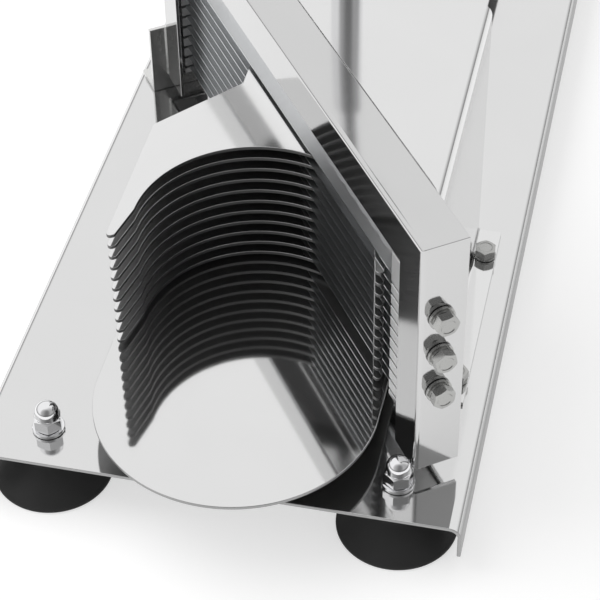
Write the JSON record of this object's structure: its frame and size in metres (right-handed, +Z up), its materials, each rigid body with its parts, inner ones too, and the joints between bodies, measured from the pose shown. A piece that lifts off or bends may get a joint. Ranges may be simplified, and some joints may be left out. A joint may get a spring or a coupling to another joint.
{
  "type": "tomato slicer",
  "caption": "Sliding-pusher tomato slicer: stacked fins push the fruit through a diagonal pack of horizontal blades onto a raised bed on a sheet-metal deck with suction feet.",
  "frame": {"origin": "middle of the footprint, on the surface that the suction cups stand on", "axes": "+Z up, +Y from the round outlet end towards the rear, the way the pusher opens, +X to the right seen from the outlet end"},
  "size_m": [0.19, 0.4442, 0.286],
  "materials": {
    "deck_steel": "polished stainless sheet with faint rolling grain",
    "bed_steel": "polished stainless sheet, lightly scuffed by fruit",
    "frame_steel": "mirror-polished stainless sheet",
    "hood_steel": "satin stainless sheet",
    "sheet_steel": "plain mill-finish stainless",
    "fin_steel": "polished stainless plate with ground edges",
    "blade_steel": "ground hardened blade steel",
    "chrome": "bright chrome plate",
    "bolt_steel": "plain stainless fastener",
    "rubber": "matt black rubber",
    "black_plastic": "black moulded plastic",
    "gloss_black": "glossy black phenolic ball"
  },
  "bodies": {
    "machine": {"base_deck": "deck_steel", "suction_cup_front_left": "rubber", "suction_cup_front_right": "rubber", "suction_cup_back_left": "rubber", "suction_cup_back_right": "rubber", "cup_stud_front_left": "bolt_steel", "cup_stud_front_right": "bolt_steel", "cup_stud_back_left": "bolt_steel", "cup_stud_back_right": "bolt_steel", "washer_front_left": "chrome", "washer_front_right": "chrome", "washer_back_left": "chrome", "washer_back_right": "chrome", "cap_nut_front_left": "chrome", "cap_nut_front_right": "chrome", "cap_nut_back_left": "chrome", "cap_nut_back_right": "chrome", "bed_plate": "bed_steel", "bed_rail_left": "sheet_steel", "bed_rail_right": "sheet_steel", "blade_frame": "frame_steel", "blade_bar_near": "sheet_steel", "blade_bar_far": "sheet_steel", "window_cheek": "frame_steel", "frame_bracket": "sheet_steel", "tension_bolt_01": "bolt_steel", "tension_bolt_02": "bolt_steel", "tension_bolt_03": "bolt_steel", "blade_01": "blade_steel", "blade_02": "blade_steel", "blade_03": "blade_steel", "blade_04": "blade_steel", "blade_05": "blade_steel", "blade_06": "blade_steel", "blade_07": "blade_steel", "blade_08": "blade_steel", "blade_09": "blade_steel", "blade_10": "blade_steel", "blade_11": "blade_steel", "guard_hood": "hood_steel", "hood_bolt_front": "bolt_steel", "hood_bolt_back": "bolt_steel"},
    "pusher": {"fin_01": "fin_steel", "fin_02": "fin_steel", "fin_03": "fin_steel", "fin_04": "fin_steel", "fin_05": "fin_steel", "fin_06": "fin_steel", "fin_07": "fin_steel", "fin_08": "fin_steel", "fin_09": "fin_steel", "fin_10": "fin_steel", "fin_11": "fin_steel", "pusher_block": "black_plastic", "pusher_shoe": "black_plastic", "tie_bolt": "bolt_steel", "fin_tie": "bolt_steel", "handle_post": "chrome", "grip_ball": "gloss_black"}
  },
  "joints": [
    {"name": "pusher_slide", "type": "slide", "parent": "machine", "child": "pusher", "axis": [0, 1, 0], "range_m": [0, 0.15]}
  ]
}
